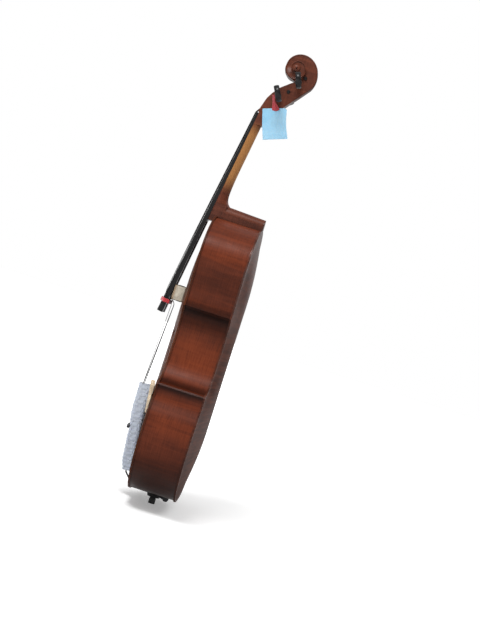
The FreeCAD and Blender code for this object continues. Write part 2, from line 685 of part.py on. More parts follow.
def tailpiece():
    body = tail_plan(0, -1, TAIL_DEPTH, 0, -TAIL_LENGTH).common(crown(CROWN_RADIUS, 0, -TAIL_LENGTH, 0))
    hollow = tail_plan(-2, 5, TAIL_DEPTH + 1, -8, -TAIL_LENGTH + 22)
    slots = [box(tuner_x(n) - 2.2, tuner_x(n) + 2.2, -5, 20, SLOT_AT - 7, SLOT_AT + 7) for n in STRING_NAMES]
    holes = [rod((tuner_x(n), -5, SCREW_AT), (tuner_x(n), 20, SCREW_AT), 2.0 + RUNNING) for n in STRING_NAMES]
    low = -TAIL_LENGTH
    gut_holes = [rod((s * 6, 8, low - 2), (s * 6, 8, low + 30), 1.7) for s in SIDES.values()]
    pivot_z = (LEVER_PIVOT_AT - 4, LEVER_PIVOT_AT + 4)
    lugs = [box(x - 1.4, x + 1.4, 4, TAIL_DEPTH, *pivot_z) for x in (-13, 0, 13)]
    pin_hole = rod((-30, LEVER_DEPTH, LEVER_PIVOT_AT), (30, LEVER_DEPTH, LEVER_PIVOT_AT), 1.0 + RUNNING)
    return tail_place(body.cut(hollow).fuse(lugs).cut(slots + holes + gut_holes + [pin_hole]))


def tuner_pin():
    return tail_place(rod((-24.5, LEVER_DEPTH, LEVER_PIVOT_AT), (24.5, LEVER_DEPTH, LEVER_PIVOT_AT), 1.0))


def tuner_lever(name):
    """A rocker on the pin: its short arm holds the string in the slot, its long arm rests under the screw."""
    x = tuner_x(name)
    long_arm = box(x - 1.8, x + 1.8, LEVER_DEPTH + 0.4, LEVER_DEPTH + 2.6, SCREW_AT - 4, LEVER_PIVOT_AT + 1)
    hub = rod((x - 1.8, LEVER_DEPTH, LEVER_PIVOT_AT), (x + 1.8, LEVER_DEPTH, LEVER_PIVOT_AT), 2.6)
    short_arm = box(x - 1.8, x + 1.8, 6.6, 10.8, LEVER_PIVOT_AT, SLOT_AT + 4.5)
    hole = rod((x - 3, LEVER_DEPTH, LEVER_PIVOT_AT), (x + 3, LEVER_DEPTH, LEVER_PIVOT_AT), 1.0 + RUNNING)
    return tail_place(long_arm.fuse([hub, short_arm]).cut(hole).removeSplitter())


def tuner_screw(name):
    """A knurled knob on a thin shank that reaches through the tailpiece to its lever."""
    x = tuner_x(name)
    shank = rod((x, -9, SCREW_AT), (x, LEVER_DEPTH + 0.2, SCREW_AT), 2.0)
    knob = rod((x, -14.5, SCREW_AT), (x, -8.8, SCREW_AT), KNOB_RADIUS)
    return tail_place(shank.fuse(knob))


# ---------------------------------------------------------------- strings
BAND_ALONG = 547.5  # the elastic band's place along the fingerboard
SLIP_ALONG = 541.0  # where the slack strings slide off the fingerboard's edges
SLIP_OFFSET = {"a": 3.0, "d": 1.3, "g": 1.3, "c": 3.0}  # outside the edge


def string_path(name):
    """Peg, nut, along the fingerboard, off its edge beside the band, then straight to the tailpiece."""
    radius, share = STRING_RADIUS[name], STRING_SHARE[name]
    sign = 1 if share > 0 else -1
    gap = radius + 0.5
    x_nut = share * NUT_SPREAD
    x_peg = sign * 5.5 if abs(share) == 1 else sign * 1.5
    nut_top = board_top(x_nut, 0) + 1.6
    # over its own peg and, where they are in the way, over the front of the lower ones
    over = {"a": "a", "c": "ca", "d": "da", "g": "gda"}[name]
    clear = PEG_RADII[0] + radius + 0.6
    pegs = [peg_point(n, x_peg) + Vector(0, -0.8 * clear, 0.6 * clear) for n in over]
    run = []
    for along, lift in ((60, 2.2), (300, 3.6), (SLIP_ALONG - 22, 2.6)):
        half = NUT_HALF + (BOARD_END_HALF - NUT_HALF) * along / FINGERBOARD_LENGTH
        spread = share * NUT_SPREAD + (sign * half * (0.9 if abs(share) == 1 else 0.7) - share * NUT_SPREAD) \
            * (along / SLIP_ALONG) ** 1.5
        run.append(board_point(spread, board_top(spread, along) + radius + lift, along))
    share_end = SLIP_ALONG / FINGERBOARD_LENGTH
    edge = NUT_HALF + (BOARD_END_HALF - NUT_HALF) * share_end
    edge_x = sign * (edge + SLIP_OFFSET[name] + radius)
    over_edge = board_point(edge_x, board_side(SLIP_ALONG) + 1.7 + radius, SLIP_ALONG - 4)
    beside = board_point(edge_x, -13.0, SLIP_ALONG + 2)
    front = crown_drop(tuner_x(name)) - radius - 0.2
    into_tail = tail_point(tuner_x(name), front, 3)
    over_slot = tail_point(tuner_x(name), front, SLOT_AT + 5)
    end = tail_point(tuner_x(name), 4.0, SLOT_AT + 4)
    return pegs + [board_point(x_nut, nut_top + gap, -NUT_LENGTH), board_point(x_nut, nut_top + gap, 0)] \
        + run + [over_edge, beside, into_tail, over_slot, end]


def string(name):
    return routed(string_path(name), STRING_RADIUS[name])


# ---------------------------------------------------------------- endpin and tail gut
COLLAR_Z = TIP_HEIGHT + 0.5
COLLAR_HEIGHT = 8.5
GUT_RADIUS = 1.2
SCREW_Z = COLLAR_Z + 4.6


def endpin_collar():
    flange = taper((0, 0, COLLAR_Z), (0, 0, COLLAR_Z + COLLAR_HEIGHT), 17, 20)
    waist = rod((0, 0, COLLAR_Z + COLLAR_HEIGHT), (0, 0, BODY_BOTTOM + 12), 13.5)
    plug = taper((0, 0, BODY_BOTTOM + 2), (0, 0, BODY_BOTTOM + 52), 12.5, 11.0)
    ribs_in = slab(OVERHANG, -HALF_RIB, HALF_RIB)
    outside = flange.fuse(waist.cut(ribs_in))
    bore = rod((0, 0, 0), (0, 0, 200), ROD_RADIUS + RUNNING)
    screw_hole = rod((0, 0, SCREW_Z), (0, 30, SCREW_Z), 3.0 + RUNNING)
    return outside.fuse(plug).cut([bore, screw_hole]).removeSplitter()


def plug_cutter():
    return taper((0, 0, BODY_BOTTOM), (0, 0, BODY_BOTTOM + 80), 12.58, 10.18)


def endpin_rod():
    foot, top = 5.0, 5.0 + ROD_LENGTH
    chamfer = taper((0, 0, top - 2), (0, 0, top), ROD_RADIUS, 3.5)
    return rod((0, 0, foot), (0, 0, top - 2), ROD_RADIUS).fuse(chamfer)


def endpin_tip():
    """A rubber foot: a straight wall that a floor cup can grip, and a shoulder above it."""
    wall = rod((0, 0, 0), (0, 0, 12), 9.0)
    shoulder = taper((0, 0, 12), (0, 0, TIP_HEIGHT), 9.0, 7.0)
    return wall.fuse(shoulder).cut(rod((0, 0, 5), (0, 0, 30), ROD_RADIUS)).removeSplitter()


def endpin_screw():
    """The clamp screw in the collar's side, with a flat thumb grip."""
    shank = rod((0, ROD_RADIUS + 0.2, SCREW_Z), (0, 24, SCREW_Z), 3.0)
    boss = rod((0, 22, SCREW_Z), (0, 26, SCREW_Z), 4.5)
    grip = Part.makeCylinder(8.5, 3.2, Vector(-1.6, 33, SCREW_Z), Vector(1, 0, 0))
    return shank.fuse([boss, grip]).removeSplitter()


def tail_gut():
    """A looped cord from the tailpiece over the saddle and round the endpin collar."""
    loop_z = COLLAR_Z + COLLAR_HEIGHT + GUT_RADIUS + 0.1
    saddle_front = -HALF_RIB - EDGE_THICK - 5 - GUT_RADIUS - 0.2
    under = BODY_BOTTOM - GUT_RADIUS - 0.2
    loop_radius = 13.5 + GUT_RADIUS + 1.2

    def strand(side):
        return [
            tail_point(side * 6, 8, -TAIL_LENGTH + 24), tail_point(side * 6, 8, -TAIL_LENGTH - 1),
            tail_point(side * 6, 8, -TAIL_LENGTH - 7), Vector(side * 6, saddle_front - 0.6, BODY_BOTTOM + 10),
            Vector(side * 6.5, saddle_front - 1.7, under - 1.7), Vector(side * 8, -HALF_RIB, under - 0.4),
            Vector(side * loop_radius, -9, loop_z),
        ]

    turns = [math.radians(a) for a in range(0, 181, 30)]
    round_collar = [Vector(loop_radius * math.cos(a), loop_radius * math.sin(a), loop_z) for a in turns]
    return routed(strand(1) + round_collar + strand(-1)[::-1], GUT_RADIUS)


# ---------------------------------------------------------------- loose bridge
BRIDGE_HEIGHT = 84.0
BRIDGE_PLACE = (82.0, -85.1, 277.0)  # centre of the bridge, lying on the top beside the tailpiece
BRIDGE_TWIST = 6.8  # lean about Z that follows the arch


def bridge():
    """The bridge, feet up the body, lying nearly flat on the treble side of the top."""
    half_height = BRIDGE_HEIGHT / 2
    outline = [(-45, half_height), (-45, half_height - 7), (-38, half_height - 12), (-34, half_height - 34),
               (-38, half_height - 48), (-33, -half_height + 6), (-18, -half_height + 1.5), (0, -half_height),
               (18, -half_height + 3), (32, -half_height + 12), (38, half_height - 48),
               (34, half_height - 34), (38, half_height - 12), (45, half_height - 7), (45, half_height),
               (20, half_height),
               (13, half_height - 22), (-13, half_height - 22), (-20, half_height)]
    plate = Part.Face(polygon([(x, -6, z) for x, z in outline])).extrude(Vector(0, 12, 0))
    taper_outline = [(5.5, half_height), (-5.5, half_height), (2.6, -half_height), (5.5, -half_height)]
    wedge = side_profile(taper_outline, 60)
    heart = Part.makeCylinder(6.5, 20, Vector(0, -10, -6), Vector(0, 1, 0))
    ears = [Part.makeCylinder(7, 20, Vector(s * 27, -10, -4), Vector(0, 1, 0)) for s in SIDES.values()]
    shape = plate.common(wedge).cut([heart] + ears)
    shape.Placement = FreeCAD.Placement(Vector(BRIDGE_PLACE), Rotation(Vector(0, 0, 1), BRIDGE_TWIST))
    return shape


# ---------------------------------------------------------------- transport packing
BLOCK_Z = (537.0, 579.0)
BLOCK_HALF = 30.0
# y and z of the sleeve's back, down the arch of the top
WRAP_BACK = [(-84.5, 340), (-84.5, 209), (-83.0, 175), (-79.9, 140), (-73.9, 92), (-66.0, 40)]
WRAP_DEEP = 60.0
NOTE_WIDTH = 65.0
NOTE_HEIGHT = 82.0
NOTE_LEAN = 18.0
NOTE_CORNER = (19.0, -34.0, NUT_Z + 21)  # inner face, front upper corner
NOTE_THICK = 0.8


def foam_block():
    """The pad that fills the gap between the fingerboard and the top."""
    z0, z1 = BLOCK_Z
    slant = math.tan(math.radians(NECK_TILT))
    blank = side_profile(
        [(glue_y(z0) + 0.4, z0), (glue_y(z1) + 0.4, z1), (-HALF_RIB, z1), (-HALF_RIB, z0)], BLOCK_HALF)
    under_board = blank.common(box(-BLOCK_HALF, BLOCK_HALF, glue_y(z0) + 4.5 * (1 + slant), 0, z0, z1))
    top_surface = front_place(arch_solid(EDGE_THICK + 0.3))
    return under_board.cut(top_surface)


def red_band():
    """An elastic band round the fingerboard, outside the strings."""
    def ring(grow, z0, z1):
        share = BAND_ALONG / FINGERBOARD_LENGTH
        half = NUT_HALF + (BOARD_END_HALF - NUT_HALF) * share
        side = board_side(BAND_ALONG) - 0.2 + grow
        ends = [Part.Wire(board_section(half + grow, side, z).Edges) for z in (z0, z1)]
        return Part.makeLoft(ends, True, True).translated(Vector(0, grow, 0))

    outer = ring(6.4, -BAND_ALONG - 3, -BAND_ALONG + 3)
    inner = ring(5.4, -BAND_ALONG - 5, -BAND_ALONG + 5)
    return on_frame(outer.cut(inner), BOARD_ORIGIN, -NECK_TILT)


def tail_wrap():
    """The soft sleeve round the tailpiece, open at both ends and pierced by the tuner knobs' shanks.

    Its front follows the tailpiece, and its back lies along the arch of the top.
    """
    def tube(grow, front, wall, z_top, z_low):
        block = tail_plan(grow, front, WRAP_DEEP, z_top, z_low)
        sleeve = tail_place(block.common(crown(CROWN_RADIUS + grow, front, z_low - 1, z_top + 1)))
        behind = [(y - wall, z) for y, z in WRAP_BACK] + [(0, WRAP_BACK[-1][1]), (0, WRAP_BACK[0][1])]
        return sleeve.cut(side_profile(behind, 60))

    outer = tube(6.0, -8.0, 0.0, 8.0, -TAIL_LENGTH - 1)
    inner = tube(3.5, -5.5, 1.8, 20.0, -TAIL_LENGTH - 20)
    knobs = [rod((tuner_x(n), -12, SCREW_AT), (tuner_x(n), 4, SCREW_AT), 2.6) for n in STRING_NAMES]
    return outer.cut([inner] + [tail_place(knob) for knob in knobs])


def paper_note():
    """A plain sheet held at its top edge beside the pegbox."""
    sheet = box(0, NOTE_THICK, 0, NOTE_WIDTH, -NOTE_HEIGHT, 0)
    return on_frame(sheet, NOTE_CORNER, NOTE_LEAN)


def red_tape():
    """The strip that fastens the note to the pegbox cheek."""
    outline = [(25, -6), (44, -6), (32.5, 20), (32.5, 36), (27, 36), (26, 20)]
    near = NOTE_THICK + GLUE_GAP
    strip = Part.Face(polygon([(near, y, z) for y, z in outline])).extrude(Vector(0.55, 0, 0))
    return on_frame(strip, NOTE_CORNER, NOTE_LEAN)


# ---------------------------------------------------------------- the whole cello
def main():
    os.makedirs("parts", exist_ok=True)
    neck_solid = neck()
    plug = plug_cutter()

    groove_floor = EDGE_THICK - PURFLING_DEPTH
    purfling = edge_ring(groove_floor, EDGE_THICK - GLUE_GAP)
    grooved = bare_plate().cut(edge_ring(groove_floor, EDGE_THICK + 5))
    back = grooved.translated(Vector(0, HALF_RIB, 0)).fuse(button()).removeSplitter()
    save("back_plate", back)
    save("back_purfling", purfling.translated(Vector(0, HALF_RIB, 0)).cut(button()))
    front = front_place(grooved.cut([f_hole(s) for s in SIDES.values()]))
    save("top_plate", front.cut([neck_solid, SADDLE]))
    save("top_purfling", front_place(purfling).cut([neck_solid, SADDLE]))
    save("saddle", SADDLE)

    garland = rib_band(OVERHANG, OVERHANG + RIB_THICK, -HALF_RIB, HALF_RIB).cut([neck_solid, plug])
    for name, zone in rib_zones():
        save(name, garland.common(zone))
    corners = corner_blocks()
    upper_block = end_block(BODY_TOP - 45, BODY_TOP, 58).cut(neck_solid)
    lower_block = end_block(BODY_BOTTOM, BODY_BOTTOM + 42, 62).cut(plug)
    save("corner_blocks", corners)
    save("upper_block", upper_block)
    save("lower_block", lower_block)
    blocks = corners.Solids + [upper_block, lower_block]
    save("top_linings", linings(-BLOCK_Y, -BLOCK_Y + LINING_WIDTH, blocks))
    save("back_linings", linings(BLOCK_Y - LINING_WIDTH, BLOCK_Y, blocks))
    save("bass_bar", bass_bar())
    save("sound_post", sound_post())

    save("neck", neck_solid)
    save("fingerboard", fingerboard())
    strings = {name: string(name) for name in STRING_NAMES}
    save("nut", nut().cut([routed(string_path(n)[-10:-6], STRING_RADIUS[n] + 0.1) for n in STRING_NAMES]))
    for name in STRING_NAMES:
        save(f"peg_{name}", peg(name))
        save(f"string_{name}", strings[name])

    save("tailpiece", tailpiece())
    save("tuner_pin", tuner_pin())
    for name in STRING_NAMES:
        save(f"tuner_lever_{name}", tuner_lever(name))
        save(f"tuner_screw_{name}", tuner_screw(name))
    save("tail_gut", tail_gut())
    save("endpin_collar", endpin_collar())
    save("endpin_rod", endpin_rod())
    save("endpin_tip", endpin_tip())
    save("endpin_screw", endpin_screw())

    save("bridge", bridge())
    save("foam_block", foam_block())
    save("red_band", red_band())
    save("tail_wrap", tail_wrap())
    save("paper_note", paper_note())
    save("red_tape", red_tape())


main()
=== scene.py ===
"""Looks of a full-size cello with its bridge laid down for transport.

Metres, in the cello's own frame: +Z up along the body, +X to the treble side, +Y towards the back.
"""

import math

import bpy
import numpy as np
from mathutils import Matrix, Vector, noise


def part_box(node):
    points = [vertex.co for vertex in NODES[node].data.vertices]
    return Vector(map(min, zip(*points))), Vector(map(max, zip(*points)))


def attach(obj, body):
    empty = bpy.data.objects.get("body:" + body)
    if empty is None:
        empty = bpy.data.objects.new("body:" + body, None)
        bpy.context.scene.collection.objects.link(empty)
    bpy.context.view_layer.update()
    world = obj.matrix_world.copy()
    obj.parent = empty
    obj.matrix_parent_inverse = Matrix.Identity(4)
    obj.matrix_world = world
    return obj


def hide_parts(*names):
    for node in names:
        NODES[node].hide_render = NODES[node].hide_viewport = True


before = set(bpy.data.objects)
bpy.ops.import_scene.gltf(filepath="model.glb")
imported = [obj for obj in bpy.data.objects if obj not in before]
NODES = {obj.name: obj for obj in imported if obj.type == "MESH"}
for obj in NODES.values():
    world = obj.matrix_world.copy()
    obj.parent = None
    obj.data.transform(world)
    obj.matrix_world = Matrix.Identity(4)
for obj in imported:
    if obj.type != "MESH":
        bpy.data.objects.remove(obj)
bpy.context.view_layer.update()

STRINGS = ("a", "d", "g", "c")
BOUTS = ("lower_bout", "waist", "upper_bout")
SIDES = ("treble", "bass")
RIBS = [f"{bout}_rib_{side}" for bout in BOUTS for side in SIDES]
WAIST_ENDS = (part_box("waist_rib_treble")[0][2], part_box("waist_rib_treble")[1][2])
NUT_Z = 1.071


# ---------------------------------------------------------------- node materials
def scaled(colour, times, plus=0.0):
    return tuple(min(1, c * times + plus) for c in colour)


class Look:
    """A material built from a short chain of nodes, over one Principled shader."""

    def __init__(self, name, **principled):
        self.material = bpy.data.materials.new(name)
        self.material.use_nodes = True
        self.tree = self.material.node_tree
        self.shader = self.tree.nodes["Principled BSDF"]
        self.place = self.add("ShaderNodeTexCoord").outputs["Object"]
        self.bump_chain = None
        for key, value in principled.items():
            self.set(key.replace("_", " ").title().replace("Ior", "IOR"), value)

    def add(self, kind, settings=None, **inputs):
        """A node with its settings, and its inputs joined or set by name."""
        node = self.tree.nodes.new(kind)
        for key, value in (settings or {}).items():
            setattr(node, key, value)
        for key, value in inputs.items():
            self.feed(node.inputs[key.replace("_", " ")], value)
        return node

    def feed(self, socket, value):
        if isinstance(value, bpy.types.NodeSocket):
            self.tree.links.new(value, socket)
        elif isinstance(value, tuple) and len(value) == 3 and len(socket.default_value) == 4:
            socket.default_value = (*value, 1)
        else:
            socket.default_value = value

    def set(self, name, value):
        self.feed(self.shader.inputs[name], value)

    def base(self):
        """What the base colour comes from so far."""
        return self.shader.inputs["Base Color"].links[0].from_socket

    def stretched(self, x=1, y=1, z=1):
        """The object's own place, scaled along each axis."""
        return self.add("ShaderNodeMapping", Vector=self.place, Scale=(x, y, z)).outputs[0]

    def noise(self, vector, scale=1.0, detail=3.0, roughness=0.5, distortion=0.0):
        return self.add("ShaderNodeTexNoise", Vector=vector, Scale=scale, Detail=detail, Roughness=roughness,
                        Distortion=distortion).outputs["Fac"]

    def bands(self, vector, scale, axis="Z"):
        """Even waves along an axis."""
        return self.add("ShaderNodeTexWave", {"bands_direction": axis}, Vector=vector, Scale=scale,
                        Distortion=0.0, Detail=0.0).outputs["Fac"]

    def cells(self, vector, scale):
        """Distance from the middle of the nearest cell."""
        return self.add("ShaderNodeTexVoronoi", Vector=vector, Scale=scale).outputs["Distance"]

    def ramp(self, factor, *stops):
        """A colour ramp of (place, colour or grey level) stops."""
        node = self.add("ShaderNodeValToRGB", Fac=factor)
        elements = node.color_ramp.elements
        while len(elements) < len(stops):
            elements.new(0.5)
        for element, (place, colour) in zip(elements, stops):
            element.position = place
            element.color = (*colour, 1) if isinstance(colour, tuple) else (colour, colour, colour, 1)
        return node.outputs["Color"]

    def mix(self, factor, first, second, how="MIX"):
        return self.add("ShaderNodeMixRGB", {"blend_type": how}, Fac=factor, Color1=first,
                        Color2=second).outputs["Color"]

    def sums(self, operation, first, second):
        """A Math node's result for two numbers or sockets."""
        node = self.add("ShaderNodeMath", {"operation": operation})
        self.feed(node.inputs[0], first)
        self.feed(node.inputs[1], second)
        return node.outputs[0]

    def axis(self, name):
        return self.add("ShaderNodeSeparateXYZ", Vector=self.place).outputs[name]

    def between(self, value, low, high):
        """0 below low to 1 above high, smoothly."""
        return self.add("ShaderNodeMapRange", {"interpolation_type": "SMOOTHSTEP"}, Value=value, From_Min=low,
                        From_Max=high).outputs["Result"]

    def bump(self, height, strength, distance):
        """Relief on top of any before it; distance in metres."""
        inputs = {"Height": height, "Strength": strength, "Distance": distance}
        if self.bump_chain:
            inputs["Normal"] = self.bump_chain
        self.bump_chain = self.add("ShaderNodeBump", **inputs).outputs[0]
        self.set("Normal", self.bump_chain)
        return self


def varnished(name, dark, light, along, grain, flame=None, flame_depth=0.5, gloss=1.0, painted_shade_depth=0.6):
    """Wood under tinted varnish: along stretches the fibres, flame the figure that crosses them.

    Shade is painted into the colour where the wood faces the ground, and the last argument says how dark that
    painted shade gets.
    """
    look = Look(name, coat_weight=0.1 * gloss, coat_roughness=0.28, coat_ior=1.45,
                specular_ior_level=0.16 * gloss)
    cloud = look.noise(look.stretched(), 5.5, 3, 0.55)
    fibre = look.noise(look.stretched(*along), 1.0, 5, 0.65, 0.3)
    colour = look.mix(look.ramp(cloud, (0.32, 0.0), (0.68, 1.0)), dark, light)
    colour = look.mix(look.ramp(fibre, (0.35, 0.55), (0.6, 0.0)), colour, scaled(dark, 0.42))
    if flame:
        figure = look.noise(look.stretched(*flame), 1.0, 2, 0.5, 0.6)
        sheen = look.ramp(figure, (0.38, 0.0), (0.62, flame_depth))
        colour = look.mix(sheen, colour, scaled(light, 1.75))
    handled = look.noise(look.stretched(), 28, 4, 0.6)
    # painted shade: the colour darkens where the surface faces the ground
    normal = look.add("ShaderNodeTexCoord").outputs["Normal"]
    facing = look.add("ShaderNodeSeparateXYZ", Vector=normal).outputs["Z"]
    shade = look.ramp(look.between(facing, -0.85, 0.3), (0.0, 1 - painted_shade_depth), (1.0, 1.0))
    look.set("Base Color", look.mix(1.0, colour, shade, "MULTIPLY"))
    look.set("Roughness", look.ramp(handled, (0.3, 0.34), (0.7, 0.5)))
    return look.bump(look.noise(look.stretched(*(3 * a for a in along)), 1.0, 2), grain, 0.0004)


def rib_look():
    """Rib varnish with shade painted in for a thumb's width either side of the corners, and a highlight
    painted along their ridges.
    """
    look = varnished("rib_maple", dark=(0.082, 0.017, 0.0075), light=(0.172, 0.034, 0.0115),
                     along=(30, 700, 30), grain=0.1, flame=(95, 7, 95), flame_depth=0.14, gloss=0.45,
                     painted_shade_depth=0.86)
    height = look.axis("Z")
    colour = look.base()
    # painted highlight along the corners' ridges
    ridge_highlight = (0.75, 0.75, 0.75)
    for corner, reach in zip(WAIST_ENDS, (0.026, 0.04)):
        away = look.sums("ABSOLUTE", look.sums("SUBTRACT", height, corner), 0.0)
        # painted shade either side of each corner, kept lighter on the ridge as a painted highlight
        shade = look.ramp(look.between(away, 0.004, reach), (0.0, 0.26), (1.0, 1.0))
        ridge = look.ramp(look.between(away, 0.0015, 0.0035), (0.0, 0.55), (1.0, 0.0))
        colour = look.mix(1.0, colour, look.mix(ridge, shade, ridge_highlight), "MULTIPLY")
    look.set("Base Color", colour)
    return look


def back_look():
    """Back varnish, its polish full at the shoulders and worn dull lower down."""
    look = varnished("back_maple", dark=(0.045, 0.014, 0.009), light=(0.09, 0.028, 0.016),
                     along=(700, 700, 16), grain=0.1, flame=(9, 9, 105), flame_depth=0.3, gloss=0.0)
    worn_to, full_from = 0.42, 0.72
    polish = look.ramp(look.between(look.axis("Z"), worn_to, full_from), (0.0, 0.14), (1.0, 0.5))
    look.set("Coat Weight", polish)
    look.set("Coat Tint", (0.86, 0.84, 0.84))
    return look


def neck_look():
    """Amber where the hand goes, shading into dark varnish at the heel and the pegbox."""
    look = varnished("neck_maple", dark=(0.062, 0.017, 0.01), light=(0.125, 0.034, 0.017),
                     along=(600, 600, 22), grain=0.1, flame=(10, 10, 110), flame_depth=0.22, gloss=0.7)
    varnish = look.base()
    height = look.axis("Z")
    fibre = look.noise(look.stretched(260, 260, 14), 1.0, 4, 0.6)
    amber = look.mix(fibre, (0.22, 0.095, 0.03), (0.34, 0.155, 0.052))
    above_heel = look.between(height, 0.845, 0.9)
    below_nut = look.ramp(look.between(height, 1.01, 1.06), (0, 1.0), (1, 0.0))
    bare = look.mix(above_heel, (0, 0, 0), below_nut)
    look.set("Base Color", look.mix(bare, varnish, amber))
    return look


def ebony_look():
    look = Look("ebony", coat_weight=0.16, coat_roughness=0.16, specular_ior_level=0.05)
    fibre = look.noise(look.stretched(900, 900, 26), 1.0, 4, 0.6)
    handled = look.noise(look.stretched(), 45, 4)
    look.set("Base Color", look.mix(fibre, (0.006, 0.006, 0.0065), (0.014, 0.013, 0.013)))
    look.set("Roughness", look.ramp(handled, (0.3, 0.27), (0.7, 0.44)))
    return look.bump(fibre, 0.12, 0.0003)


def bare_wood(name, pale, deep, along):
    """Wood without varnish, with dark flecks along its fibres."""
    look = Look(name, roughness=0.62)
    fibre = look.noise(look.stretched(*along), 1.0, 5, 0.6, 0.4)
    flecks = look.noise(look.stretched(*(2.2 * a for a in along)), 1.3, 2)
    colour = look.mix(look.ramp(fibre, (0.35, 0.0), (0.65, 1.0)), deep, pale)
    fleck = look.ramp(flecks, (0.6, 0.0), (0.72, 0.5))
    look.set("Base Color", look.mix(fleck, colour, scaled(deep, 0.6)))
    return look.bump(fibre, 0.25, 0.0004)


def worn_metal(name, colour, roughness):
    """Metal with fine scratches along it."""
    look = Look(name, metallic=1.0)
    marks = look.noise(look.stretched(400, 400, 32), 1.0, 3, 0.6)
    look.set("Base Color", look.mix(marks, scaled(colour, 0.75), colour))
    look.set("Roughness", look.ramp(marks, (0.3, roughness * 0.7), (0.7, roughness * 1.4)))
    return look.bump(marks, 0.06, 0.0002)


def moulded(name, colour, roughness, pebble=700, depth=0.15):
    """Plastic or rubber with a pebbled skin and a little dust."""
    look = Look(name)
    skin = look.noise(look.stretched(), pebble, 3)
    dust = look.noise(look.stretched(), 30, 4)
    dusty = look.ramp(dust, (0.45, 0.0), (0.75, 0.35))
    look.set("Base Color", look.mix(dusty, colour, scaled(colour, 2, 0.02)))
    look.set("Roughness", look.ramp(dust, (0.3, roughness * 0.85), (0.7, min(1, roughness * 1.3))))
    return look.bump(skin, depth, 0.0003)


def wound_string():
    """Flat ribbon wound on a core: fine turns across the string's length."""
    look = Look("wound_string", specular_ior_level=0.0)
    turns = look.bands(look.stretched(), 620)
    tarnish = look.noise(look.stretched(60, 60, 9), 1.0, 3)
    look.set("Base Color", look.mix(tarnish, (0.004, 0.004, 0.004), (0.016, 0.015, 0.014)))
    look.set("Roughness", look.ramp(tarnish, (0.3, 0.3), (0.7, 0.5)))
    return look.bump(turns, 0.3, 0.0002)


def film_look():
    """Cushioned packing film: milky, faintly blue, glossy on each bubble."""
    look = Look("packing_film", ior=1.45, transmission_weight=0.12, subsurface_weight=0.25)
    haze = look.noise(look.stretched(), 60, 4)
    look.set("Base Color", look.mix(haze, (0.4, 0.44, 0.525), (0.53, 0.58, 0.665)))
    look.set("Roughness", look.ramp(haze, (0.3, 0.22), (0.7, 0.42)))
    look.set("Subsurface Radius", (0.004, 0.004, 0.005))
    return look.bump(look.noise(look.stretched(), 420, 3), 0.12, 0.0005)


def foam_look():
    """Pale cut foam with tan skin at its long edges, and darker in a narrow band at both ends."""
    look = Look("cut_foam", roughness=0.92)
    pores = look.cells(look.stretched(), 620)
    grime = look.noise(look.stretched(), 55, 5, 0.65)
    colour = look.mix(grime, (0.36, 0.32, 0.25), (0.56, 0.51, 0.42))
    colour = look.mix(look.ramp(pores, (0.05, 0.5), (0.35, 0.0)), colour, (0.24, 0.2, 0.15))
    low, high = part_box("foam_block")
    line, fade = 0.0005, 0.003
    height = look.axis("Z")
    bottom = look.ramp(look.between(height, low[2] + line, low[2] + fade), (0, 1.0), (1, 0.0))
    ends = look.mix(1.0, bottom, look.between(height, high[2] - fade, high[2] - line), "ADD")
    tan = look.ramp(look.between(look.axis("Y"), low[1] + 0.003, low[1] + 0.009), (0, 0.85), (1, 0.0))
    colour = look.mix(tan, colour, (0.24, 0.16, 0.09))
    look.set("Base Color", look.mix(ends, colour, (0.05, 0.04, 0.03)))
    return look.bump(pores, 0.6, 0.0012).bump(grime, 0.4, 0.002)


def paper_look():
    look = Look("note_paper", roughness=0.7, subsurface_weight=0.1)
    pulp = look.noise(look.stretched(), 240, 5, 0.7)
    shade = look.noise(look.stretched(), 22, 3)
    colour = look.mix(shade, (0.15, 0.36, 0.52), (0.24, 0.47, 0.62))
    look.set("Base Color", look.mix(look.ramp(pulp, (0.5, 0.0), (0.8, 0.2)), colour, (0.32, 0.52, 0.64)))
    return look.bump(pulp, 0.12, 0.0003)


def woven(name, colour, pitch):
    """Threads crossing on a tape or cord, pitch to the metre."""
    look = Look(name, roughness=0.75, sheen_weight=0.3)
    weave = look.mix(0.5, look.bands(look.stretched(), pitch), look.bands(look.stretched(), pitch, "Y"))
    look.set("Base Color", look.mix(weave, scaled(colour, 0.6), colour))
    return look.bump(weave, 0.4, 0.0003)


RIB = rib_look()
BACK = back_look()
SPRUCE = varnished("top_spruce", (0.055, 0.016, 0.008), (0.13, 0.036, 0.015), (850, 850, 7), 0.15, gloss=0.3)
NECK = neck_look()
EBONY = ebony_look()
INNER = bare_wood("inner_wood", (0.62, 0.43, 0.24), (0.45, 0.29, 0.15), (500, 500, 25))
BRIDGE = bare_wood("bridge_maple", (0.86, 0.75, 0.58), (0.64, 0.47, 0.28), (60, 500, 500))
PURFLING = varnished("purfling", (0.012, 0.007, 0.005), (0.03, 0.014, 0.008), (300, 300, 300), 0.05)
STRING = wound_string()
TUNER_STEEL = worn_metal("tuner_steel", (0.55, 0.55, 0.56), 0.3)
CHROME = worn_metal("endpin_steel", (0.75, 0.75, 0.77), 0.12)
BLACK_METAL = worn_metal("black_metal", (0.035, 0.035, 0.037), 0.34)
TAIL_BLACK = moulded("tail_black", (0.012, 0.012, 0.013), 0.25, 500, 0.05)
CORD = woven("tail_cord", (0.03, 0.03, 0.03), 900)
RUBBER = moulded("tip_rubber", (0.014, 0.014, 0.014), 0.7)
ELASTIC = woven("red_elastic", (0.5, 0.012, 0.022), 700)
RIBBON = woven("red_ribbon", (0.34, 0.02, 0.03), 1100)
FILM = film_look()
FOAM = foam_look()
PAPER = paper_look()

